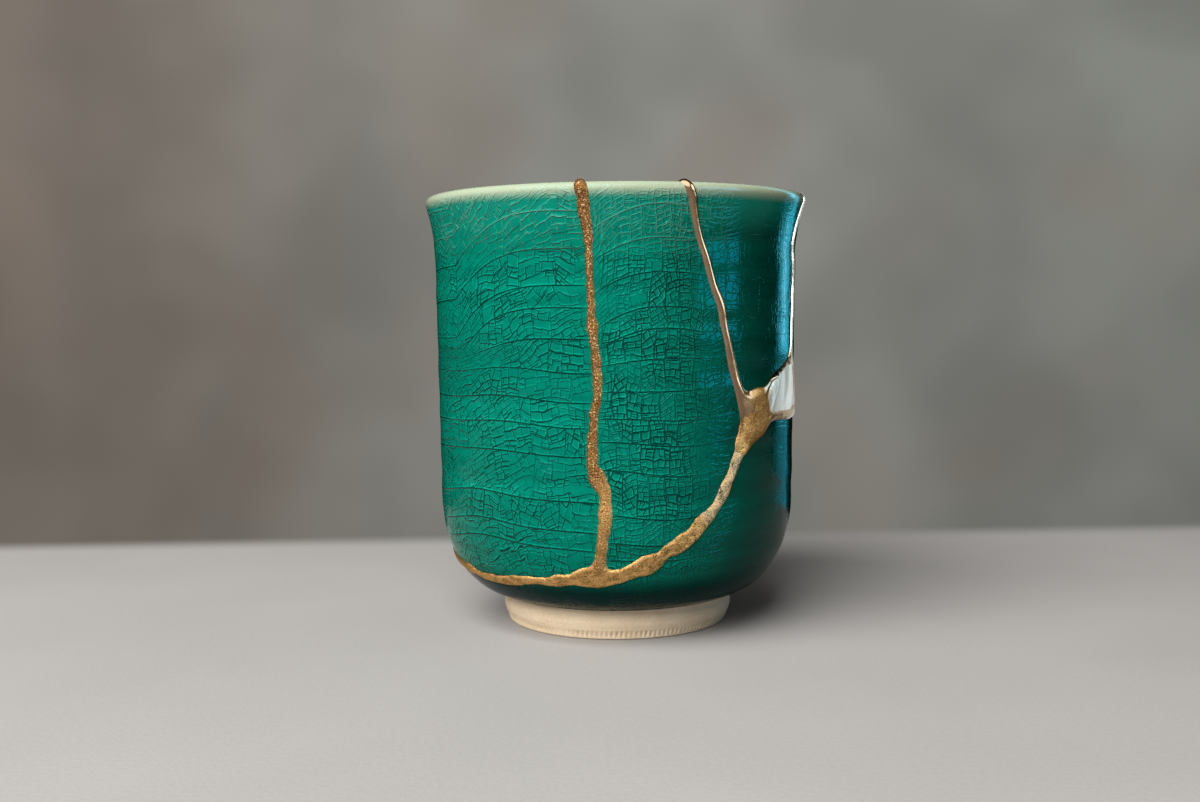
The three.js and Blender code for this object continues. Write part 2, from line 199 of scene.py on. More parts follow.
# Arches of the glaze's long cracks high on the wall, in millimetres along it from azimuth 0
FRONT_ARCH_TOP = 7
FRONT_ARCH_REACH = 10
LEFT_ARCH_TOP = -9
LEFT_ARCH_REACH = 24


def lerp(low, high, share):
    return low + (high - low) * share


def smooth(value, low, high):
    """0 below low, 1 above high, and a smooth step between them."""
    share = np.clip((value - low) / (high - low), 0, 1)
    return share * share * (3 - 2 * share)


def cloud(x, y, size, seed):
    """Smooth noise from -1 to 1: random numbers on a lattice of this size, eased from one to the next."""
    table = np.random.default_rng(seed).uniform(-1, 1, (61, 67))
    u, v = np.asarray(x) / size, np.asarray(y) / size
    i, j = np.floor(u).astype(int), np.floor(v).astype(int)
    f, g = smooth(u - i, 0, 1), smooth(v - j, 0, 1)
    corner = lambda a, b: table[(i + a) % 61, (j + b) % 67]
    low = lerp(corner(0, 0), corner(1, 0), f)
    high = lerp(corner(0, 1), corner(1, 1), f)
    return lerp(low, high, g)


# The generating line

def wall_at(z):
    """Outside of the wall at heights z: radius, the two parts of the outward normal, and the thickness.

    Below the shoulder it is a quarter of an ellipse, above it a straight line, and the flare adds a parabola.
    """
    z = np.asarray(z, float)
    drop, reach = SHOULDER_Z - BELLY_Z, SHOULDER_RADIUS - BELLY_RADIUS
    turn = np.arcsin(np.clip((SHOULDER_Z - z) / drop, 0, 1))
    straight = np.clip((z - SHOULDER_Z) / (FLARE_START_Z - SHOULDER_Z), 0, 1)
    flare = np.maximum(0, (z - FLARE_START_Z) / (FLARE_END_Z - FLARE_START_Z))
    flare_reach = FLARE_END_RADIUS - FLARE_START_RADIUS
    high = lerp(SHOULDER_RADIUS, FLARE_START_RADIUS, straight) + flare_reach * flare ** 2
    slope = 2 * flare_reach * flare / (FLARE_END_Z - FLARE_START_Z)
    low = z < SHOULDER_Z
    radius = np.where(low, BELLY_RADIUS + reach * np.cos(turn), high)
    normal_r = np.where(low, np.cos(turn) / reach, 1.0)
    normal_z = np.where(low, -np.sin(turn) / drop, -slope)
    length = np.hypot(normal_r, normal_z)
    swell = (CORNER_THICKNESS - WALL_THICKNESS) * np.sin(2 * turn)
    corner = lerp(WALL_THICKNESS, FLOOR_THICKNESS, 2 * turn / PI) + swell
    thickness = np.where(low, corner, lerp(WALL_THICKNESS, LIP_THICKNESS, np.minimum(1, flare)))
    return radius, normal_r / length, normal_z / length, thickness


def generating_line():
    """Points of the line, its run, its unit normals, and the levels of the wall with their runs."""
    turns = np.linspace(PI / 2, 0, 160, endpoint=False)
    low = SHOULDER_Z - (SHOULDER_Z - BELLY_Z) * np.sin(turns)
    levels = np.concatenate([low, np.linspace(SHOULDER_Z, FLARE_END_Z, 360)])
    radius, normal_r, normal_z, thickness = wall_at(levels)
    outer = np.stack([radius, levels], 1)
    inner = outer - np.stack([normal_r, normal_z], 1) * thickness[:, None]
    lip_turn = np.linspace(0, PI, 60)[1:-1] - FLARE_ANGLE
    lip = np.stack([np.cos(lip_turn), np.sin(lip_turn)], 1) * LIP_RADIUS + [LIP_CENTRE_RADIUS, LIP_CENTRE_Z]
    floor_r = np.linspace(BELLY_RADIUS, 0, 120)[1:]
    floor = np.stack([floor_r, np.full_like(floor_r, BELLY_Z + FLOOR_THICKNESS)], 1)
    points = np.concatenate([outer, lip, inner[::-1], floor])
    steps = np.hypot(*np.diff(points, axis=0).T)
    run = np.concatenate([[0], np.cumsum(steps)])
    tangent = np.gradient(points, run, axis=0)
    normals = np.stack([tangent[:, 1], -tangent[:, 0]], 1)
    normals /= np.hypot(*normals.T)[:, None]
    count = len(levels)
    inner_start = count + len(lip)
    return points, run, normals, levels, run[:count], run[inner_start:inner_start + count][::-1]


LINE, RUN, NORMALS, LEVELS, OUTER_RUNS, INNER_RUNS = generating_line()
LIP_START_RUN = OUTER_RUNS[-1]
LIP_END_RUN = INNER_RUNS[-1]
INNER_FOOT_RUN = INNER_RUNS[0]


def outer_run(z):
    return np.interp(z, LEVELS, OUTER_RUNS)


def inner_run(z):
    return np.interp(z, LEVELS, INNER_RUNS)


def radius_at(run):
    return np.interp(run, RUN, LINE[:, 0])


def throwing_marks(azimuth, run):
    """Height of the potter's finger rings: three waves along the run, each wound into a slow spiral.

    They fade out at the lip and the foot. The glaze's lower edge adds a small rolled bead.
    """
    rings = 0.5 * np.sin(2 * PI * run / 8.3 + azimuth + 0.8)
    rings += 0.32 * np.sin(2 * PI * run / 13.1 + azimuth + 2.9)
    rings += 0.18 * np.sin(2 * PI * run / 4.9 - azimuth)
    outside = smooth(run, 3, 12) * (1 - smooth(run, LIP_START_RUN - 9, LIP_START_RUN - 2))
    inside = smooth(run, LIP_END_RUN + 3, LIP_END_RUN + 12) * (1 - smooth(run, RUN[-1] - 9, RUN[-1] - 3))
    edge_bead = 0.32 * np.exp(-((run - 1.0) / 0.8) ** 2)
    return rings * (0.085 * outside + 0.13 * inside) + edge_bead


def on_glaze(azimuth, run, above=0.0):
    """Points in millimetres a given height above the glaze, as an array whose last axis is x, y, z."""
    azimuth, run, above = np.broadcast_arrays(azimuth, run, above)
    lift = above + throwing_marks(azimuth, run)
    radius = np.interp(run, RUN, LINE[:, 0]) + np.interp(run, RUN, NORMALS[:, 0]) * lift
    z = np.interp(run, RUN, LINE[:, 1]) + np.interp(run, RUN, NORMALS[:, 1]) * lift
    return np.stack([radius * np.sin(azimuth), -radius * np.cos(azimuth), z], -1)


# Meshes

def piece_from(name, points, faces):
    """A mesh object from points in millimetres and lists of faces, with smooth shading."""
    mesh = bpy.data.meshes.new(name)
    mesh.from_pydata((np.asarray(points) * MM).tolist(), [], faces)
    mesh.polygons.foreach_set("use_smooth", np.ones(len(mesh.polygons), bool))
    mesh.update()
    piece = bpy.data.objects.new(name, mesh)
    bpy.context.scene.collection.objects.link(piece)
    return piece


def unroll(piece, azimuth, run, name="unrolled"):
    """Lays a UV map out in millimetres: along the wall's circumference, and up the generating line."""
    mesh = piece.data
    corners = np.zeros(len(mesh.loops), int)
    mesh.loops.foreach_get("vertex_index", corners)
    starts = np.zeros(len(mesh.polygons), int)
    totals = np.zeros(len(mesh.polygons), int)
    mesh.polygons.foreach_get("loop_start", starts)
    mesh.polygons.foreach_get("loop_total", totals)
    turn = azimuth[corners]
    wide = np.maximum.reduceat(turn, starts) - np.minimum.reduceat(turn, starts) > PI
    turn = turn + 2 * PI * (np.repeat(wide, totals) & (turn < 0))
    layer = mesh.uv_layers.new(name=name)
    layer.data.foreach_set("uv", np.stack([turn * SHOULDER_RADIUS, run[corners]], 1).ravel())


def crackle_arch(degrees, run, left_of_seam):
    """How far the long cracks of the glaze sag below a level line, in millimetres.

    High on the wall they are parabolas: an arch between the two long seams, and half a one to their left.
    A small wave runs round the whole cup.
    """
    along = np.radians(degrees) * SHOULDER_RADIUS
    high = smooth(run, outer_run(53), outer_run(61)) * (1 - smooth(run, LIP_START_RUN, LIP_END_RUN))
    if left_of_seam:
        fall = np.clip((LEFT_ARCH_TOP - along) / LEFT_ARCH_REACH, 0, 1.15)
        arch = 8.0 * fall ** 2 * (1 - smooth(-degrees, 100, 150))
    else:
        fall = (along - FRONT_ARCH_TOP) / FRONT_ARCH_REACH
        arch = 3.2 * np.clip(-fall, 0, 1.4) ** 2 + 1.2 * np.clip(fall, 0, 1) ** 2
    return high * arch + 0.8 * np.sin(np.radians(4 * degrees) + 1.2)


def mark_glaze(piece, azimuth, run, left_of_seam=False):
    """Gives a glazed piece its two UV maps, how crackled it is at each place, and painted shade on its right
    side.

    On the outside the crackle is fainter right beside the left seam and on the right side. The right side's
    colour is also darkened there as painted shade, standing in for the light falling off.
    """
    degrees = (np.degrees(azimuth) + 180) % 360 - 180
    outside = 1 - smooth(run, LIP_START_RUN, LIP_END_RUN)
    ahead = outside * (1 - smooth(degrees, 115, 165))
    beside = np.abs(degrees - np.degrees(edge_of(LEFT_SEAM)(np.interp(run, OUTER_RUNS, LEVELS))))
    calm = outside * (1 - smooth(beside * SHOULDER_RADIUS * PI / 180, 1.0, 2.4))
    thick = ahead * (0.68 * smooth(degrees, 18, 28) + 0.28 * smooth(degrees, 28, 40))
    unroll(piece, azimuth, run)
    unroll(piece, azimuth, run + crackle_arch(degrees, run, left_of_seam), "crackle")
    give(piece, "crackled", (1 - 0.7 * calm) * (1 - thick))
    # painted shade: a darker glaze colour on the right side, where the light falls off
    give(piece, "deep", ahead * smooth(degrees, 2, 52))


def give(piece, name, values):
    """Stores a number for each vertex, which the material reads by its name."""
    attribute = piece.data.attributes.new(name, "FLOAT", "POINT")
    attribute.data.foreach_set("value", np.asarray(values, np.float32).ravel())


def quads(low, high):
    """Faces between two rows of vertex numbers of the same length."""
    return np.stack([low[:-1], low[1:], high[1:], high[:-1]], 1).tolist()


def stitch(low, high):
    """Faces between two closed rings of vertex numbers.

    One ring may be a single vertex, or have several times as many as the other.
    """
    low, high = np.append(low, low[0]), np.append(high, high[0])
    if len(low) == 2:
        return [[low[0], b, a] for a, b in zip(high[:-1], high[1:])]
    if len(high) == 2:
        return [[a, b, high[0]] for a, b in zip(low[:-1], low[1:])]
    if len(low) == len(high):
        return quads(low, high)
    few, many = (low, high) if len(low) < len(high) else (high, low)
    times = (len(many) - 1) // (len(few) - 1)
    fans = [[few[k], few[k + 1], *many[k * times:(k + 1) * times + 1][::-1]] for k in range(len(few) - 1)]
    return fans if few is low else [fan[::-1] for fan in fans]


# The four shards

def edge_of(seam):
    """A seam's line as a function that gives its azimuth in radians at a height."""
    line = np.array(sorted(seam, key=lambda p: p[1]))
    return lambda z: np.radians(np.interp(z, line[:, 1], line[:, 0]))


def ring_height(azimuth):
    """Height of the base's upper edge at an azimuth: the crack round the cup, and the fill's lower edge."""
    seams = [point[:2] for point in LOW_SEAM + RISING_SEAM[:9] + BACK_SEAM[1:-1]]
    line = np.array(seams + FILL_LOWER_EDGE)
    return np.interp(np.degrees(azimuth) % 360, line[:, 0] % 360, line[:, 1], period=360)


def fill_top_height(azimuth):
    """Height of the fill's upper edge at an azimuth."""
    line = np.array(FILL_LEFT_END[:1] + FILL_RIGHT_EDGE[1:] + FILL_UPPER_EDGE)
    line = line[np.argsort(line[:, 0])]
    return np.interp(np.degrees(azimuth), line[:, 0], line[:, 1])


def shard(name, left, right, left_lean, right_lean, foot, columns):
    """A shard of the wall: a grid from crack to crack and from its foot over the lip and down the inside.

    A place is found by a few rounds of substitution: height from the foot line at its azimuth, and azimuth
    from the two cracks at its height.
    """
    gap = CRACK_WIDTH / 2
    rows = int((FLARE_END_Z - 15) / SHARD_STEP)
    climb = np.linspace(0, 1, rows)
    lip = np.linspace(0, 1, 13)[1:-1]
    level = np.concatenate([climb, np.ones(len(lip)), climb[::-1]])[:, None]
    inside = np.concatenate([np.zeros(rows), lip, np.ones(rows)])[:, None]
    across = np.linspace(0, 1, columns)[None, :]
    azimuth = lerp(left(50.0), right(50.0), across) + 0 * level
    for _ in range(40):
        z = lerp(foot(azimuth) + gap, FLARE_END_Z, level)
        low = left(z) + inside * np.radians(left_lean) * smooth(z, 20, 88) + gap / SHOULDER_RADIUS
        high = right(z) + inside * np.radians(right_lean) * smooth(z, 20, 88) - gap / SHOULDER_RADIUS
        azimuth = lerp(azimuth, lerp(low, high, across), 0.7)
    over_lip = (inside > 0) & (inside < 1)
    run = np.where(inside == 0, outer_run(z), inner_run(z))
    run = np.where(over_lip, lerp(LIP_START_RUN, LIP_END_RUN, inside), run)
    points = on_glaze(azimuth, run)
    count = len(level)
    numbers = np.arange(count * columns).reshape(count, columns)
    faces = []
    for row in range(count):
        faces += quads(numbers[row], numbers[(row + 1) % count])
    half = count // 2
    outer, inner = numbers[:half], numbers[::-1][:half]
    faces += np.stack([outer[:-1, 0], outer[1:, 0], inner[1:, 0], inner[:-1, 0]], 1).tolist()
    faces += np.stack([outer[:-1, -1], inner[:-1, -1], inner[1:, -1], outer[1:, -1]], 1).tolist()
    middle = numbers[half]
    if count % 2:
        faces.append([outer[-1, 0], middle[0], inner[-1, 0]])
        faces.append([outer[-1, -1], inner[-1, -1], middle[-1]])
    piece = piece_from(name, points.reshape(-1, 3), faces)
    mark_glaze(piece, azimuth.ravel(), run.ravel(), name == "glazed_back")
    return piece


def levels_along(line):
    """Radius and height at a line's own points and in between, at most about a step apart."""
    line = np.array(line)
    length = np.concatenate([[0], np.cumsum(np.hypot(*np.diff(line, axis=0).T))])
    steps = max(len(line), int(length[-1] / FOOT_STEP))
    at = np.union1d(np.linspace(0, length[-1], steps), length)
    return zip(np.interp(at, length, line[:, 0]), np.interp(at, length, line[:, 1]))


def turned(radius, z, azimuth):
    """Points round the axis."""
    radius, z = np.broadcast_arrays(radius, z, azimuth)[:2]
    return np.stack([radius * np.sin(azimuth), -radius * np.cos(azimuth), z], -1)


def foot_rings(azimuth):
    """Rings of bare clay from the middle of the foot's hollow out and up to the glaze.

    Each is its points, their azimuths and their run. The hollow's turning marks are a sine wave along the
    radius, wound into a spiral. The ribs are a raised cosine to the power 1.5.
    """
    fine = np.linspace(-PI, PI, BASE_COLUMNS * RIB_FACTOR, endpoint=False)
    rings = [(np.array([[0.0, 0.0, FOOT_LINE[0][1]]]), np.zeros(1), -40.0)]
    for radius, z in levels_along(FOOT_LINE):
        hollow = smooth(radius, 0.5, 3) * (1 - smooth(radius, 17, 18.5))
        turning = 0.07 * np.sin(radius * 2.6 + azimuth) * hollow
        rings.append((turned(radius, z + turning, azimuth), azimuth, -30.0 + z))
    for radius, z in FOOT_RIB_LINE:
        swell = smooth(z, 0.3, 0.75) * (1 - smooth(z, 1.4, 1.95))
        rib = FOOT_RIB_DEPTH * swell * (0.5 + 0.5 * np.cos(fine * FOOT_RIBS)) ** 1.5
        rib = rib * (1 + 0.5 * cloud(fine * 24, 0, 2.0, 5))
        rings.append((turned(radius - rib, z, fine), fine, -9.0 + z))
    for radius, z in levels_along(FOOT_TOP_LINE):
        rings.append((turned(radius, z, azimuth), azimuth, -9.0 + z))
    return rings


def bowl_rings(azimuth):
    """Rings of glaze from its lower edge up to the crack, through the wall and down to the floor's middle."""
    brim = ring_height(azimuth) - CRACK_WIDTH / 2
    runs = [outer_run(brim) * share ** 1.15 for share in np.linspace(0, 1, 62)]
    runs += [lerp(inner_run(brim), INNER_FOOT_RUN, share) for share in np.linspace(0, 1, 60)]
    runs += [lerp(INNER_FOOT_RUN, RUN[-1], share) for share in np.linspace(0, 1, 28)[1:-1]]
    rings = [(on_glaze(azimuth, run), azimuth, run) for run in runs]
    return rings + [(np.array([[0.0, 0.0, LINE[-1, 1]]]), np.zeros(1), RUN[-1])]


def base_shard():
    """The bottom of the bowl with the foot ring: closed rings, each joined to the next."""
    azimuth = np.linspace(-PI, PI, BASE_COLUMNS, endpoint=False)
    clay_rings = foot_rings(azimuth)
    points, turns, runs = zip(*clay_rings, *bowl_rings(azimuth))
    ends = np.cumsum([len(ring) for ring in points])
    numbers = [np.arange(end - len(ring), end) for ring, end in zip(points, ends)]
    joins = [stitch(low, high) for low, high in zip(numbers[:-1], numbers[1:])]
    piece = piece_from("glazed_base", np.concatenate(points), [face for join in joins for face in join])
    runs = [np.broadcast_to(run, turn.shape) for run, turn in zip(runs, turns)]
    mark_glaze(piece, np.concatenate(turns), np.concatenate(runs))
    clay_faces = sum(len(join) for join in joins[:len(clay_rings) - 1])
    return piece, clay_faces


# Gold

def smooth_route(route, step=0.5):
    """A smooth curve through a route's points, [along, run, width], with points about a step apart.

    Between two points it is the cubic whose slope at each is half the difference of that point's neighbours.
    """
    route = np.asarray(route, float)
    padded = np.concatenate([2 * route[:1] - route[1:2], route, 2 * route[-1:] - route[-2:-1]])
    before, first, second, after = padded[:-3], padded[1:-2], padded[2:-1], padded[3:]
    out = []
    for a, b, c, d in zip(before, first, second, after):
        count = max(1, int(np.hypot(*(c - b)[:2]) / step))
        t = (np.arange(count) / count)[:, None]
        square, cube = 2 * a - 5 * b + 4 * c - d, 3 * b - a - 3 * c + d
        out.append(0.5 * (2 * b + (c - a) * t + square * t ** 2 + cube * t ** 3))
    return np.concatenate([*out, route[-1:]])


def unrolled(route):
    """A route of [degrees, height, width] as [along, run, width] in millimetres on the outside."""
    route = np.array(route, float)
    return np.stack([np.radians(route[:, 0]) * SHOULDER_RADIUS, outer_run(route[:, 1]), route[:, 2]], 1)


def inside_of(route, lean=0.0):
    """The same route on the inside of the wall, narrower and turned by the crack's lean."""
    route = np.array(route, float)
    turned = np.radians(route[:, 0] + lean * smooth(route[:, 1], 20, 88))
    return np.stack([turned * SHOULDER_RADIUS, inner_run(route[:, 1]), route[:, 2] * INSIDE_WIDTH], 1)


def both_sides(route):
    return [unrolled(route), inside_of(route)]


def over_the_lip(route, lean):
    """A single route that climbs the outside, crosses the lip and comes down the inside."""
    return [np.concatenate([unrolled(route), inside_of(route, lean)[::-1]])]


def distance_to(routes, along, run):
    """Distance from each node of a grid to the edge of a seam, negative inside it, and the seam's half width.

    It is the least of the distances to the routes' short stretches, each less half the width there.
    """
    distance = np.full((len(run), len(along)), 9.0)
    half = np.ones_like(distance)
    routes = [smooth_route(route) for route in routes]
    stretches = np.concatenate([np.concatenate([route[:-1], route[1:]], 1) for route in routes])
    for x0, y0, w0, x1, y1, w1 in stretches:
        reach = max(w0, w1) / 2 + 2.0
        c0, c1 = np.searchsorted(along, [min(x0, x1) - reach * 1.4, max(x0, x1) + reach * 1.4])
        r0, r1 = np.searchsorted(run, [min(y0, y1) - reach, max(y0, y1) + reach])
        if c0 == c1 or r0 == r1:
            continue
        shrink = (radius_at(run[r0:r1]) / SHOULDER_RADIUS)[:, None]
        dx, dy = (along[None, c0:c1] - x0) * shrink, run[r0:r1, None] - y0
        vx, vy = (x1 - x0) * shrink, y1 - y0
        share = np.clip((dx * vx + dy * vy) / np.maximum(vx ** 2 + vy ** 2, 1e-9), 0, 1)
        half_here = lerp(w0, w1, share) / 2
        near = np.hypot(dx - share * vx, dy - share * vy) - half_here
        nearer = near < distance[r0:r1, c0:c1]
        distance[r0:r1, c0:c1][nearer] = near[nearer]
        half[r0:r1, c0:c1][nearer] = half_here[nearer]
    return distance, half


def slab(name, keep, top, bottom, closed):
    """A solid over the kept cells of a grid: its top, its bottom and a wall round every edge.

    Top and bottom are arrays of points, one for each node. A closed grid's last column joins its first one.
    """
    rows, columns = top.shape[:2]
    r, c = np.nonzero(keep)
    nxt = (c + 1) % columns if closed else c + 1
    number = lambda row, column: row * columns + column
    ring = [number(r, c), number(r, nxt), number(r + 1, nxt), number(r + 1, c)]
    below = rows * columns
    faces = [np.stack(ring, 1), np.stack(ring[::-1], 1) + below]
    padded = np.pad(keep, 1)
    if closed:
        padded[1:-1, 0], padded[1:-1, -1] = keep[:, -1], keep[:, 0]
    neighbours = [padded[r, c + 1], padded[r + 1, c + 2], padded[r + 2, c + 1], padded[r + 1, c]]
    for k, neighbour in enumerate(neighbours):
        a, b = ring[k][~neighbour], ring[(k + 1) % 4][~neighbour]
        faces.append(np.stack([a, a + below, b + below, b], 1))
    faces = np.concatenate(faces)
    used, renumbered = np.unique(faces, return_inverse=True)
    points = np.concatenate([top.reshape(-1, 3), bottom.reshape(-1, 3)])[used]
    piece = piece_from(name, points, renumbered.reshape(-1, 4).tolist())
    return piece, used % below


def grid_steps(*stretches):
    """Places along an axis, each stretch given as its start, its end and its step."""
    parts = [np.linspace(a, b, max(2, round((b - a) / step) + 1))[:-1] for a, b, step in stretches]
    return np.concatenate([*parts, [stretches[-1][1]]])


def seam_list():
    """Each seam: its routes, height of the bead, rounding, and finish as grain, paleness and darkness."""
    back = np.array(BACK_SEAM)
    split = next(k for k, point in enumerate(LEFT_SEAM) if point[1] > LEFT_SEAM_PALE_BELOW)
    return [
        (both_sides(LEFT_SEAM[:split + 1]), 0.42, 0.8, 0.85, 0.25, 0.05),
        (over_the_lip(LEFT_SEAM[split:], LEFT_LEAN), 0.48, 0.9, 1.0, 0.0, 0.0),
        (over_the_lip(RIGHT_SEAM, RIGHT_LEAN), 0.55, 1.2, 0.0, 0.06, 0.0),
        (over_the_lip(SIDE_SEAM, SIDE_LEAN), 0.28, 9.0, 0.1, 1.0, 0.0),
        (both_sides(LOW_SEAM[:17]), 0.32, 0.6, 0.6, 0.5, 0.0),
        (both_sides(LOW_SEAM[16:]), 0.34, 0.6, 0.8, 0.42, 0.32),
        (both_sides(RISING_SEAM[:9]), 0.45, 1.0, 0.7, 0.74, 0.42),
        (both_sides(RISING_SEAM[8:]), 0.5, 1.6, 0.35, 0.0, 0.0),
        (both_sides(back) + both_sides(back - [360, 0, 0]), 0.42, 1.2, 0.4, 0.4, 0.0),
        (both_sides(FILL_LOW_SEAM), 0.62, 9.0, 0.1, 0.15, 0.1),
        (both_sides(FILL_HIGH_SEAM), 0.55, 9.0, 0.1, 0.2, 1.0),
        (both_sides(FILL_RIGHT_SEAM), 0.4, 9.0, 0.1, 0.8, 0.1),
    ]


def blended_seams(along, run):
    """How far into the gold each node of a grid lies, and its height, rounding, grain, paleness and darkness.

    A seam's weight is the exponential of minus its distance over the blend's length. The depth is that length
    times the logarithm of the sum of the weights. The rest are averages weighted by their squares.
    """
    blended, share_sum, *fields = np.zeros((7, len(run), len(along)))
    for routes, bead, widest_rounding, *finish in seam_list():
        distance, half = distance_to(routes, along, run)
        weight = np.exp(np.clip(-distance / JUNCTION_BLEND, -30, 8))
        blended += weight
        share_sum += weight ** 2
        for field, value in zip(fields, (bead, np.minimum(half, widest_rounding), *finish)):
            field += weight ** 2 * value
    depth = JUNCTION_BLEND * np.log(np.maximum(blended, 1e-9))
    return [depth] + [field / np.maximum(share_sum, 1e-12) for field in fields]


def gold_seams():
    """All the seams as one skin of gold: a height field laid over the glaze and let a little way into it.

    The depth from the edge is roughened with noise. Its share of the seam's rounding, at most 1, makes a bead
    of round section: height times (share times (2 - share)) to the power 0.85.
    """
    half_turn = PI * SHOULDER_RADIUS
    degree = SHOULDER_RADIUS * PI / 180
    along = grid_steps(
        (-half_turn, -70 * degree, GOLD_COARSE_STEP), (-70 * degree, 92 * degree, GOLD_FINE_STEP),
        (92 * degree, half_turn, GOLD_COARSE_STEP),
    )[:-1]
    run = grid_steps(
        (7.0, LIP_START_RUN - 2, GOLD_FINE_STEP), (LIP_START_RUN - 2, LIP_END_RUN + 2, GOLD_LIP_STEP),
        (LIP_END_RUN + 2, INNER_FOOT_RUN - 3, GOLD_INSIDE_STEP),
    )
    x, y = np.meshgrid(along, run)
    depth, height, rounding, grain, pale, dark = blended_seams(along, run)
    outside = 1 - smooth(run, LIP_END_RUN, LIP_END_RUN + 6)[:, None]
    depth += (0.04 + 0.12 * grain) * cloud(x, y, 1.6, 11) + (0.02 + 0.08 * grain) * cloud(x, y, 0.7, 12)
    swell = 1 + (0.16 * cloud(x, y, 3.1, 13) + 0.12 * cloud(x, y, 1.3, 14)) * (0.25 + 0.75 * grain)
    swell += 0.5 * dark * cloud(x, y, 1.5, 17)
    share = np.clip(depth / np.maximum(rounding, 0.3), 0, 1)
    bead = height * swell * (share * (2 - share)) ** 0.85 * lerp(0.6, 1, outside)
    lumps = 0.035 * cloud(x, y, 0.55, 15) * grain
    pits = 0.16 * smooth(cloud(x, y, 0.8, 16), 0.62, 0.9) * smooth(pale * grain, 0.1, 0.3)
    above = np.where(depth > 0, bead + (lumps - pits) * smooth(depth, 0.0, 0.5), depth * 1.2)
    keep = (depth[:-1] > -EDGE_OVERLAP) & (depth[1:] > -EDGE_OVERLAP)
    keep = keep & np.roll(keep, -1, 1)
    azimuth = x / SHOULDER_RADIUS
    top, bottom = on_glaze(azimuth, y, above), on_glaze(azimuth, y, -SEAM_SUNK)
    piece, used = slab("gold_seams", keep, top, bottom, True)
    unroll(piece, azimuth.ravel()[used], y.ravel()[used])
    for name, field in (("grain", grain), ("pale", pale), ("dark", dark)):
        give(piece, name, field.ravel()[used])
    return piece


def outline_distance(outline, x, y):
    """Distance from points to a closed outline, negative inside it."""
    best = np.full(x.shape, 99.0)
    inside = np.zeros(x.shape, bool)
    for (x0, y0), (x1, y1) in zip(outline, np.roll(outline, -1, 0)):
        share = ((x - x0) * (x1 - x0) + (y - y0) * (y1 - y0)) / ((x1 - x0) ** 2 + (y1 - y0) ** 2)
        share = np.clip(share, 0, 1)
        best = np.minimum(best, np.hypot(x - lerp(x0, x1, share), y - lerp(y0, y1, share)))
        crosses = (y0 > y) != (y1 > y)
        inside ^= crosses & (x < x0 + (y - y0) * (x1 - x0) / np.where(y1 == y0, 1e-9, y1 - y0))
    return np.where(inside, -best, best)


def gilded_fill():
    """The fill right through the wall: a low dome outside with burnishing strokes, a plainer one inside."""
    outline = np.array(FILL_OUTLINE) * [SHOULDER_RADIUS * PI / 180, 1]
    along = grid_steps((outline[:, 0].min() - 0.6, outline[:, 0].max() + 0.6, FILL_STEP))
    levels = grid_steps((outline[:, 1].min() - 0.6, outline[:, 1].max() + 0.6, FILL_STEP))
    x, z = np.meshgrid(along, levels)
    depth = -outline_distance(outline, x, z)
    dome = 1 - np.exp(-np.maximum(depth, 0) / 1.1)
    strokes = 0.05 * cloud(x - z * 0.35, z * 0.12, 0.9, 21) + 0.1 * cloud(x - z * 0.3, z * 0.25, 2.3, 22)
    above = np.where(depth > 0, FILL_PROUD_OUTSIDE * dome + strokes * dome, depth * 0.6)
    keep = (depth > -0.3)[:-1, :-1]
    azimuth = x / SHOULDER_RADIUS
    top = on_glaze(azimuth, outer_run(z), above)
    bottom = on_glaze(azimuth, inner_run(z), FILL_PROUD_INSIDE * dome)
    piece, used = slab("gilded_fill", keep, top, bottom, False)
    unroll(piece, azimuth.ravel()[used], outer_run(z).ravel()[used])
    return piece


# Materials

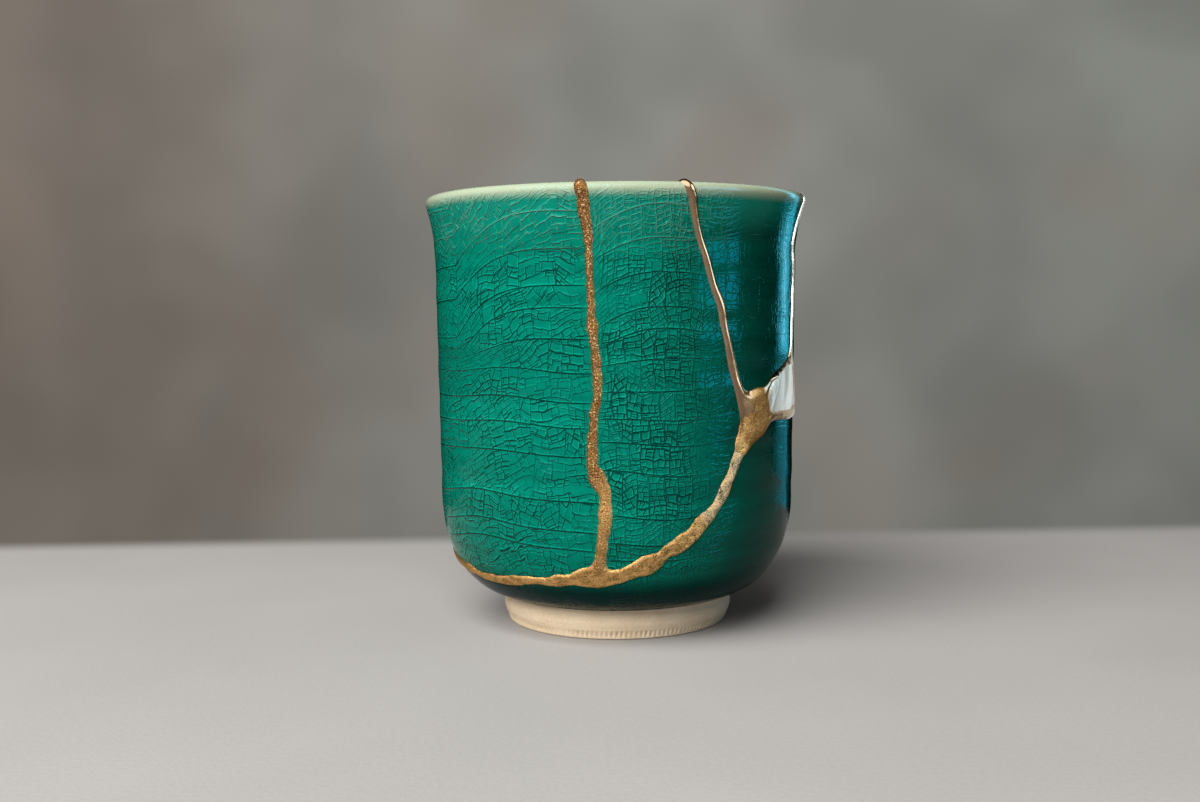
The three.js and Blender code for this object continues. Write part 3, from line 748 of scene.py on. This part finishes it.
class Recipe:
    """A material built node by node. Inputs are numbers, colours or other nodes' outputs."""

    def __init__(self, name, **finish):
        self.material = bpy.data.materials.new(name)
        self.material.use_nodes = True
        self.tree = self.material.node_tree
        self.shader = self.tree.nodes["Principled BSDF"]
        for socket, value in finish.items():
            self.shader.inputs[socket.replace("_", " ")].default_value = value

    def node(self, kind, inputs, output=0, **settings):
        node = self.tree.nodes.new("ShaderNode" + kind)
        for name, value in settings.items():
            setattr(node, name, value)
        for key, value in dict(inputs).items():
            self.feed(node.inputs[key], value)
        return node.outputs[output]

    def feed(self, socket, value):
        if isinstance(value, bpy.types.NodeSocket):
            self.tree.links.new(value, socket)
        else:
            socket.default_value = value

    def set(self, **links):
        for socket, value in links.items():
            self.feed(self.shader.inputs[socket.replace("_", " ")], value)

    def math(self, operation, *values):
        return self.node("Math", enumerate(values), operation=operation)

    def chain(self, operation, values):
        """All the values in one operation, one after the other."""
        total = values[0]
        for value in values[1:]:
            total = self.math(operation, total, value)
        return total

    def add(self, *values):
        return self.chain("ADD", values)

    def times(self, *values):
        return self.chain("MULTIPLY", values)

    def most(self, *values):
        return self.chain("MAXIMUM", values)

    def step(self, value, low, high, first=0.0, last=1.0):
        """A smooth step from first at low to last at high."""
        inputs = {"Value": value, "From Min": low, "From Max": high, "To Min": first, "To Max": last}
        return self.node("MapRange", inputs, interpolation_type="SMOOTHSTEP")

    def blend(self, share, first, second):
        return self.node("Mix", {0: share, 6: first, 7: second}, output=2, data_type="RGBA")

    def lighten(self, colour, amount):
        """A colour times an amount."""
        return self.node("VectorMath", {0: colour, "Scale": amount}, operation="SCALE")

    def noise(self, place, size, detail=2.0, roughness=0.5):
        inputs = {"Vector": place, "Scale": 1 / size, "Detail": detail, "Roughness": roughness}
        return self.node("TexNoise", inputs)

    def around_zero(self, place, size, amount, detail=2.0):
        """Noise from about -amount to +amount."""
        return self.times(self.add(self.noise(place, size, detail), -0.5), 2 * amount)

    def vector(self, x, y, z=0.0):
        return self.node("CombineXYZ", {0: x, 1: y, 2: z})

    def object_place(self):
        """Object coordinates in millimetres."""
        place = self.node("TexCoord", {}, output="Object")
        return self.node("VectorMath", {0: place, "Scale": 1 / MM}, operation="SCALE")

    def parts(self, vector, *axes):
        return [self.node("SeparateXYZ", {0: vector}, output=axis) for axis in axes]

    def unrolled_place(self, name="unrolled"):
        """Millimetres along the circumference and up the generating line."""
        return self.parts(self.node("UVMap", {}, uv_map=name), 0, 1)

    def line(self, distance, width):
        """1 on a line, falling to 0 at its width."""
        return self.step(distance, 0.0, width, 1.0, 0.0)

    def shown(self, number, share):
        """1 for a share of the strips, by their random number, and 0 for the rest."""
        return self.math("LESS_THAN", number, share)

    def lessen(self, value, mask, share=1.0):
        """The value, less by a share of itself where the mask is 1."""
        return self.times(value, self.math("SUBTRACT", 1.0, self.times(mask, share)))

    def attribute(self, name):
        return self.node("Attribute", {}, output="Fac", attribute_name=name)

    def bump(self, height, millimetres, normal=None):
        inputs = {"Height": height, "Strength": 1.0, "Distance": millimetres * MM}
        if normal is not None:
            inputs["Normal"] = normal
        return self.node("Bump", inputs)

    def strips(self, place, spacing):
        """Lines across a coordinate about a spacing apart.

        Gives the distance to the nearest one, each strip's random number, and 1 on the upper side of a line.
        """
        inputs = {"W": place, "Scale": 1 / spacing}
        edge = self.node("TexVoronoi", inputs, voronoi_dimensions="1D", feature="DISTANCE_TO_EDGE")
        colour = self.node("TexVoronoi", inputs, output="Color", voronoi_dimensions="1D", feature="F1")
        number = self.node("SeparateColor", {0: colour})
        above = self.math("LESS_THAN", place, colour.node.outputs["W"])
        return self.times(edge, spacing), number, above

    def crack(self, strip, width, strength, painted_highlight_above=True):
        """A strip's dark lines, and a painted highlight beside each, on its upper or its lower side."""
        edge, _, above = strip
        side = above if painted_highlight_above else self.math("SUBTRACT", 1.0, above)
        dark = self.times(self.line(edge, width), strength)
        # painted highlight: a lighter line beside the crack, where its raised flank would catch the light
        beside = self.math("ABSOLUTE", self.add(edge, -1.35 * width))
        return dark, self.times(self.line(beside, 0.9 * width), side, strength)


GLAZE_GREEN = (0.0002, 0.125, 0.086, 1)
GLAZE_BRIGHT = (0.003, 0.16, 0.115, 1)
# Dark green above the foot: partly pooled glaze, partly painted shade
GLAZE_POOL_AND_SHADE = (0.0002, 0.016, 0.013, 1)
LIP_GLAZE = (0.27, 0.325, 0.235, 1)
CRACK_PALE = (0.10, 0.30, 0.22, 1)
BRONZE = (0.20, 0.092, 0.028, 1)
YELLOW_GOLD = (0.60, 0.345, 0.125, 1)
PALE_GOLD = (0.80, 0.76, 0.66, 1)
GRAIN_SHADOW = (0.07, 0.03, 0.01, 1)
GRAIN_SPARK = (0.72, 0.50, 0.28, 1)
OLIVE_SPECK = (0.12, 0.09, 0.02, 1)
DARK_LACQUER = (0.05, 0.04, 0.02, 1)
FILL_LIGHT = (0.92, 0.93, 0.89, 1)
FILL_GREY = (0.46, 0.43, 0.38, 1)
FILL_BROWN = (0.36, 0.215, 0.11, 1)
CLAY_CREAM = (0.67, 0.545, 0.395, 1)
CLAY_WARM = (0.60, 0.465, 0.305, 1)
# Crackle: spacings of the long, upright, slanting, short and finest cracks, range of slants, and the share of
# the last four kinds that is there
CLOSE_NET = (5.6, 2.7, 1.35, 1.35, 1.0), (-0.35, 0.6), (0.95, 0.94, 0.82, 0.55)
LOOSE_STROKES = (6.0, 3.4, 1.7, 2.0, 1.3), (-0.5, 0.75), (0.34, 0.62, 0.6, 0.36)


def crackle(recipe, place, spacings, slants, shares):
    """The crackle, from 0 to 1: the cracks, and the painted highlight beside each, the lit flank of a raised
    crack.

    Each crack runs from one older crack to the next. First come long level cracks, then upright ones between
    them that part off blocks. In each block a set of cracks has a slant of its own, with short ones across it
    and the finest ones between those. A strip's random number shifts the lines within it.
    """
    row, block, hatch, short, fine = spacings
    across, level = recipe.unrolled_place("crackle")
    elsewhere = recipe.node("VectorMath", {0: place, 1: (31, 17, 5)}, operation="ADD")
    kink, other_kink = (recipe.around_zero(spot, 1.9, 0.5, 1.0) for spot in (place, elsewhere))
    bend, sway = recipe.around_zero(place, 7.0, 1.5, 0.0), recipe.around_zero(elsewhere, 26.0, 2.2, 0.0)
    rows = recipe.strips(recipe.add(level, sway, recipe.times(kink, 0.15)), row)
    shaky = recipe.add(across, recipe.times(bend, 0.5), recipe.times(kink, 0.4))
    upright = recipe.add(shaky, recipe.times(rows[1], 91.0))
    blocks = recipe.strips(upright, block)
    number = blocks[1]
    slant = recipe.math("MULTIPLY_ADD", number, slants[1] - slants[0], slants[0])
    slanting = recipe.add(level, recipe.times(slant, across, -1.0), bend, kink, recipe.times(number, 67.0))
    hatches = recipe.strips(slanting, hatch)
    crossing = recipe.add(across, recipe.times(slant, level), other_kink, recipe.times(hatches[1], 43.0))
    crumbs = recipe.strips(crossing, short)
    finest = recipe.strips(recipe.add(slanting, other_kink, recipe.times(crumbs[1], 29.0)), fine)
    strength = recipe.step(recipe.noise(place, 9.0, 1.0), 0.36, 0.58, 0.4, 1.0)
    kinds = [
        recipe.crack(rows, 0.19, 1.0),
        recipe.crack(blocks, 0.18, recipe.times(strength, recipe.shown(number, shares[0]), 0.9), False),
        recipe.crack(hatches, 0.19, recipe.times(strength, recipe.shown(hatches[1], shares[1]))),
        recipe.crack(crumbs, 0.17, recipe.times(strength, recipe.shown(crumbs[1], shares[2]), 0.85), False),
        recipe.crack(finest, 0.15, recipe.times(strength, recipe.shown(crumbs[1], shares[3]), 0.7)),
    ]
    return [recipe.most(*lines) for lines in zip(*kinds)]


def glaze(name, spacings, slants, shares):
    """Green crackle glaze: pale where it runs thin on the lip, dark above the foot, partly pooled glaze and
    partly painted shade.
    """
    recipe = Recipe(name, Roughness=0.1, IOR=1.2, Specular_Tint=(0.1, 0.9, 1.0, 1))
    place = recipe.object_place()
    along, up = recipe.unrolled_place()
    before_lip = recipe.step(up, LIP_START_RUN - 1.6, LIP_START_RUN + 0.7)
    lip = recipe.times(before_lip, recipe.step(up, LIP_END_RUN + 1.6, LIP_END_RUN - 0.7))
    nearing = recipe.step(up, LIP_START_RUN - 8.5, LIP_START_RUN - 1.0)
    under_lip = recipe.times(nearing, recipe.step(up, LIP_END_RUN + 9, LIP_END_RUN + 1))
    # Darker above the foot: partly glaze pooled there, partly painted shade where the belly turns down.
    pool_and_shade_edge = recipe.add(up, recipe.around_zero(place, 9.0, 0.8))
    pool_and_shade = recipe.step(pool_and_shade_edge, outer_run(16.5), outer_run(11.0))
    crackled = recipe.attribute("crackled")
    crackled = recipe.lessen(recipe.lessen(crackled, lip, 0.95), pool_and_shade, 0.85)
    cracks, painted_highlights = crackle(recipe, place, spacings, slants, shares)
    cracks, painted_highlights = recipe.times(cracks, crackled), recipe.times(painted_highlights, crackled)

    bands = recipe.noise(recipe.vector(recipe.times(along, 0.03), up), 3.6, 2.0)
    mottle = recipe.noise(place, 1.6, 3.0, 0.6)
    tone = recipe.times(recipe.step(bands, 0.3, 0.7, 0.84, 1.14), recipe.step(mottle, 0.3, 0.7, 0.93, 1.06))
    # The right side's green is darkened here as painted shade.
    green = recipe.lighten(GLAZE_GREEN[:3], recipe.lessen(tone, recipe.attribute("deep"), 0.72))
    green = recipe.blend(recipe.times(under_lip, 0.8), green, GLAZE_BRIGHT)
    green = recipe.blend(pool_and_shade, green, GLAZE_POOL_AND_SHADE)
    green = recipe.blend(lip, green, LIP_GLAZE)
    # Painted highlights brighten the green beside the cracks.
    green = recipe.lighten(green, recipe.math("MULTIPLY_ADD", painted_highlights, 0.75, 1.0))
    pale_cracks = recipe.step(up, LIP_START_RUN - 14, LIP_START_RUN - 5, 0.0, 0.8)
    crack = recipe.blend(pale_cracks, recipe.lighten(green, 0.15), CRACK_PALE)
    recipe.set(Base_Color=recipe.blend(recipe.times(cracks, 0.9), green, crack))
    recipe.set(Specular_IOR_Level=recipe.step(up, outer_run(12), outer_run(24), 0.15, 0.5))
    ripple = recipe.around_zero(place, 5.0, 1.0, 1.0)
    facets = recipe.times(mottle, crackled, 0.12)
    recipe.set(Normal=recipe.bump(recipe.add(cracks, facets), 0.32, recipe.bump(ripple, 0.012)))
    return recipe.material


def bare_clay():
    """Buff clay with faint marks from turning the foot."""
    recipe = Recipe("bare_clay", Roughness=0.82, Specular_IOR_Level=0.25)
    place = recipe.object_place()
    clouds = recipe.noise(place, 6.0, 3.0)
    fine = recipe.noise(place, 0.45, 3.0, 0.6)
    stretched = recipe.node("VectorMath", {0: place, 1: (0.12, 0.12, 2.2)}, operation="MULTIPLY")
    turning = recipe.noise(stretched, 1.1, 2.0)
    colour = recipe.blend(recipe.step(clouds, 0.35, 0.7, 0.0, 0.6), CLAY_CREAM, CLAY_WARM)
    grain = recipe.add(fine, recipe.times(turning, 0.6))
    recipe.set(Base_Color=recipe.lighten(colour, recipe.step(grain, 0.5, 1.1, 0.9, 1.06)))
    height = recipe.add(recipe.times(fine, 0.6), recipe.times(turning, 0.5))
    recipe.set(Normal=recipe.bump(height, 0.09))
    return recipe.material


def seam_gold():
    """Gold powder on lacquer, from bronze through yellow to pale gold.

    Where it is grainy it is rough, its dark and bright specks painted shadows and glints of the grains.
    Where it isn't, a clear coat makes it gleam.
    Where it is dark, the lacquer shows through.
    """
    recipe = Recipe("seam_gold", Metallic=1.0, Specular_Tint=(0.85, 0.7, 0.5, 1), Coat_Roughness=0.16)
    recipe.set(Coat_IOR=1.9)
    place = recipe.object_place()
    grain, pale, dark = (recipe.attribute(name) for name in ("grain", "pale", "dark"))
    powder = recipe.noise(place, 0.28, 1.0, 0.6)
    patches = recipe.noise(place, 1.7, 2.0)
    lightness = recipe.add(pale, recipe.times(recipe.add(patches, -0.5), 0.3))
    colour = recipe.blend(recipe.step(lightness, 0.0, 0.5), BRONZE, YELLOW_GOLD)
    colour = recipe.blend(recipe.step(lightness, 0.6, 1.0), colour, PALE_GOLD)
    # Painted shadows and glints of the powder's grains, where it is grainy.
    colour = recipe.blend(recipe.times(recipe.step(powder, 0.46, 0.36), grain, 0.8), colour, GRAIN_SHADOW)
    colour = recipe.blend(recipe.times(recipe.step(powder, 0.58, 0.68), grain, 0.8), colour, GRAIN_SPARK)
    specks = recipe.times(recipe.step(patches, 0.48, 0.56), recipe.step(powder, 0.48, 0.56), pale, grain)
    colour = recipe.blend(recipe.times(specks, 3.0), colour, OLIVE_SPECK)
    colour = recipe.lighten(colour, recipe.step(dark, 0.0, 0.6, 1.0, 0.5))
    bare_lacquer = recipe.times(recipe.step(dark, 0.6, 1.0), recipe.step(patches, 0.35, 0.6))
    colour = recipe.blend(bare_lacquer, colour, DARK_LACQUER)
    recipe.set(Base_Color=colour)
    recipe.set(Roughness=recipe.step(recipe.add(grain, recipe.times(patches, 0.2)), 0.1, 0.9, 0.25, 0.6))
    recipe.set(Coat_Weight=recipe.step(grain, 0.05, 0.4, 0.8, 0.0))
    rough_height = recipe.times(powder, recipe.step(grain, 0.0, 1.0, 0.08, 1.0))
    recipe.set(Normal=recipe.bump(rough_height, 0.16))
    return recipe.material


def fill_gold():
    """Burnished silvery gold with slanting strokes, brown at its left end."""
    recipe = Recipe("fill_gold", Metallic=1.0)
    place = recipe.object_place()
    along, up = recipe.unrolled_place()
    slant = recipe.vector(recipe.add(along, recipe.times(up, -0.3)), recipe.times(up, 0.15))
    strokes = recipe.noise(slant, 0.7, 3.0, 0.6)
    wide = recipe.noise(slant, 2.6, 2.0)
    colour = recipe.blend(recipe.step(wide, 0.42, 0.62), FILL_LIGHT, FILL_GREY)
    colour = recipe.lighten(colour, recipe.step(strokes, 0.3, 0.7, 0.85, 1.05))
    brown = recipe.step(recipe.add(along, recipe.around_zero(place, 2.0, 1.0)), 34.0, 36.0, 1.0, 0.0)
    colour = recipe.blend(brown, colour, FILL_BROWN)
    recipe.set(Base_Color=colour)
    rough = recipe.step(wide, 0.35, 0.7, 0.3, 0.42)
    recipe.set(Roughness=recipe.add(rough, recipe.times(brown, 0.05)))
    recipe.set(Normal=recipe.bump(strokes, 0.02))
    return recipe.material


# The pieces of the cup

def finish_piece(piece, slot, materials, *nodes):
    for material in materials:
        piece.data.materials.append(material)
    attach(piece, "root")
    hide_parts(*nodes)


def make_cup():
    crackle_glaze, clay = glaze("crackle_glaze", *CLOSE_NET), bare_clay()
    loose_glaze = glaze("loose_crackle_glaze", *LOOSE_STROKES)
    left, right, side = edge_of(LEFT_SEAM), edge_of(RIGHT_SEAM + RISING_SEAM[:10]), edge_of(SIDE_SEAM)
    back_left = edge_of([[*point, 0] for point in FILL_RIGHT_EDGE] + SIDE_SEAM[1:])
    full_turn = lambda z: left(z) + 2 * PI
    front = shard("glazed_front", left, right, LEFT_LEAN, RIGHT_LEAN, ring_height, 56)
    finish_piece(front, "glaze", [crackle_glaze], "front_shard")
    small = shard("glazed_side", right, side, RIGHT_LEAN, SIDE_LEAN, fill_top_height, 52)
    finish_piece(small, "glaze", [crackle_glaze], "side_shard")
    back = shard("glazed_back", back_left, full_turn, SIDE_LEAN, LEFT_LEAN, ring_height, 230)
    finish_piece(back, "glaze", [loose_glaze], "back_shard")
    base, clay_faces = base_shard()
    finish_piece(base, "glaze", [crackle_glaze, clay], "base_shard")
    is_clay = np.arange(len(base.data.polygons)) < clay_faces
    base.data.polygons.foreach_set("material_index", is_clay.astype(int))
    seam_nodes = "gold_seam_main", "gold_seam_right", "gold_seam_side"
    finish_piece(gold_seams(), "seam_gold", [seam_gold()], *seam_nodes)
    finish_piece(gilded_fill(), "fill_gold", [fill_gold()], "gold_fill")


# Table, backdrop, light and camera

TABLE_EDGE_Y = 0.107
TABLE_EDGE_SLOPE = 0.064
TABLE_EDGE_FADE = 0.022
CUP_MIDDLE_Z = 0.045
DAYLIGHT = (1.0, 0.97, 0.93)
CAMERA_DISTANCE = 0.2839
CAMERA_HEIGHT = 0.0662
LOOK_DOWN = 4.0
LOOK_RIGHT = 0.69
CAMERA_TILT = -0.4
FOCAL_LENGTH_IN_WIDTHS = 1321.3 / 1200


def box_piece(name, low, high, material, shear=0.0):
    """A plain block for the stage, whose back edge may run askew."""
    corners = np.stack(np.meshgrid(*zip(low, high), indexing="ij"), -1).reshape(-1, 3)
    corners[:, 1] += np.where(corners[:, 1] == high[1], corners[:, 0] * shear, 0)
    faces = [[0, 1, 3, 2], [4, 6, 7, 5], [0, 4, 5, 1], [2, 3, 7, 6], [0, 2, 6, 4], [1, 5, 7, 3]]
    block = piece_from(name, corners / MM, faces)
    block.data.polygons.foreach_set("use_smooth", np.zeros(6, bool))
    block.data.materials.append(material)
    block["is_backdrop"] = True
    return block


def table_material():
    """Pale grey with fine specks. It fades out towards its back edge, which is unsharp in the photo."""
    recipe = Recipe("pale_table", Roughness=0.6, Specular_IOR_Level=0.3)
    place = recipe.object_place()
    x, y = recipe.parts(place, 0, 1)
    clouds = recipe.noise(place, 60.0, 3.0)
    specks = recipe.noise(place, 0.9, 2.0, 0.6)
    tone = recipe.times(recipe.step(clouds, 0.3, 0.7, 0.97, 1.02), recipe.step(specks, 0.3, 0.7, 0.975, 1.02))
    recipe.set(Base_Color=recipe.lighten((0.305, 0.30, 0.30), tone))
    recipe.set(Normal=recipe.bump(specks, 0.05))
    beyond = recipe.add(y, recipe.times(x, -TABLE_EDGE_SLOPE))
    edge, fade = TABLE_EDGE_Y / MM, TABLE_EDGE_FADE / MM
    recipe.set(Alpha=recipe.step(beyond, edge - fade, edge, 1.0, 0.0))
    return recipe.material


def backdrop_material():
    """A plain blotched wall, out of focus, that glows by itself, so that no lamp on the cup changes it."""
    recipe = Recipe("grey_backdrop", Base_Color=(0, 0, 0, 1), Specular_IOR_Level=0.0, Emission_Strength=1.0)
    recipe.set(Roughness=1.0)
    place = recipe.object_place()
    x, z = recipe.parts(place, 0, 2)
    left, middle, right = (0.19, 0.165, 0.14, 1), (0.25, 0.25, 0.228, 1), (0.205, 0.21, 0.19, 1)
    colour = recipe.blend(recipe.step(x, -650, -60), left, middle)
    colour = recipe.blend(recipe.step(x, 120, 620), colour, right)
    blotches = recipe.noise(place, 260.0, 2.0)
    warm = recipe.noise(recipe.node("VectorMath", {0: place, 1: (900, 0, 300)}, operation="ADD"), 210.0, 1.0)
    colour = recipe.lighten(colour, recipe.step(blotches, 0.3, 0.7, 0.84, 1.12))
    colour = recipe.blend(recipe.step(warm, 0.5, 0.75, 0.0, 0.3), colour, (0.24, 0.18, 0.14, 1))
    colour = recipe.lighten(colour, recipe.step(z, -150, 500, 0.82, 1.05))
    recipe.set(Emission_Color=colour)
    return recipe.material


def area_light(name, place, size, power, colour, diffuse=True):
    """A rectangular lamp turned towards the middle of the cup."""
    light = bpy.data.lights.new(name, "AREA")
    light.shape = "RECTANGLE"
    light.size, light.size_y = size
    light.energy = power
    light.color = colour
    lamp = bpy.data.objects.new(name, light)
    bpy.context.scene.collection.objects.link(lamp)
    lamp.location = place
    lamp.rotation_euler = (Vector((0, 0, CUP_MIDDLE_Z)) - Vector(place)).to_track_quat("-Z", "Y").to_euler()
    lamp.visible_camera = False
    lamp.visible_diffuse = diffuse
    return lamp


def light_only(lamp, pieces, state="INCLUDE"):
    """Lets a lamp reach only these pieces, or, with the state EXCLUDE, all but these."""
    receivers = bpy.data.collections.new(lamp.name + "_receivers")
    for piece in pieces:
        receivers.objects.link(piece)
    for member in receivers.collection_objects:
        member.light_linking.link_state = state
    lamp.light_linking.receiver_collection = receivers


def from_cup(azimuth, elevation, distance):
    """A place seen from the middle of the cup."""
    a, e = np.radians(azimuth), np.radians(elevation)
    level = distance * np.cos(e)
    return level * np.sin(a), -level * np.cos(a), CUP_MIDDLE_Z + distance * np.sin(e)


def make_stage():
    box_piece("table", (-2.5, -2.5, -0.03), (2.5, TABLE_EDGE_Y, -0.00002), table_material(), TABLE_EDGE_SLOPE)
    backdrop = box_piece("backdrop", (-0.95, 1.3, -0.8), (0.95, 1.32, 1.2), backdrop_material())
    backdrop.visible_glossy = False
    glazed = [piece for piece in bpy.data.objects if piece.name.startswith("glazed")]
    golden = [bpy.data.objects[name] for name in ("gold_seams", "gilded_fill")]
    # The window on the left, larger and softer for the gold than for the rest
    key = area_light("key_light", from_cup(-32, 43, 1.0), (1.0, 0.9), 29.5, DAYLIGHT)
    light_only(key, golden, "EXCLUDE")
    key = area_light("key_light_on_gold", from_cup(-32, 43, 1.2), (2.4, 1.8), 62.0, DAYLIGHT)
    light_only(key, golden)
    # Windows on the right that only show as reflections, bluer in the glaze than in the gold
    for name, place, size, power, colour, pieces in (
        ("back_window_in_glaze", from_cup(133, 18, 1.3), (0.42, 1.0), 4.0, (0.05, 0.72, 1.0), glazed),
        ("bright_pane_in_glaze", from_cup(132, 9, 1.3), (0.16, 0.47), 0.9, (0.3, 0.78, 1.0), glazed),
        ("low_window_in_glaze", from_cup(133, -10, 1.3), (0.5, 0.5), 0.8, (0.08, 0.75, 1.0), glazed),
        ("side_window_in_glaze", from_cup(66, 14, 1.5), (0.75, 1.0), 32.0, (0.05, 0.7, 1.0), glazed),
        ("back_window_in_gold", from_cup(146, 6, 1.3), (1.1, 1.5), 4.0, (0.93, 1.0, 1.0), golden),
        ("side_window_in_gold", from_cup(74, 18, 1.5), (1.25, 1.3), 33.0, (0.75, 0.95, 1.0), golden),
    ):
        light_only(area_light(name, place, size, power, colour, False), pieces)
    world = bpy.data.worlds.new("studio")
    bpy.context.scene.world = world
    world.use_nodes = True
    world.cycles_visibility.glossy = False
    background = world.node_tree.nodes["Background"]
    background.inputs["Color"].default_value = (1.0, 0.97, 0.91, 1)
    background.inputs["Strength"].default_value = 0.14


def make_camera():
    """The photograph's viewpoint: in front of the cup, above its middle and looking down a little."""
    data = bpy.data.cameras.new("camera")
    data.sensor_width = 36.0
    data.lens = data.sensor_width * FOCAL_LENGTH_IN_WIDTHS
    data.clip_start = 0.01
    camera = bpy.data.objects.new("camera", data)
    bpy.context.scene.collection.objects.link(camera)
    pitch = Matrix.Rotation(np.radians(90 - LOOK_DOWN), 4, "X")
    pan = Matrix.Rotation(np.radians(LOOK_RIGHT), 4, "Y")
    roll = Matrix.Rotation(np.radians(CAMERA_TILT), 4, "Z")
    place = Matrix.Translation((0, -CAMERA_DISTANCE, CAMERA_HEIGHT))
    camera.matrix_world = place @ pitch @ pan @ roll
    bpy.context.scene.camera = camera
    bpy.context.scene.view_settings.view_transform = "Standard"


make_camera()
make_cup()
make_stage()
boxes = {"cad": CAD_BOX, "visual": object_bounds()}
{name: [list(corner) for corner in box] for name, box in boxes.items()}
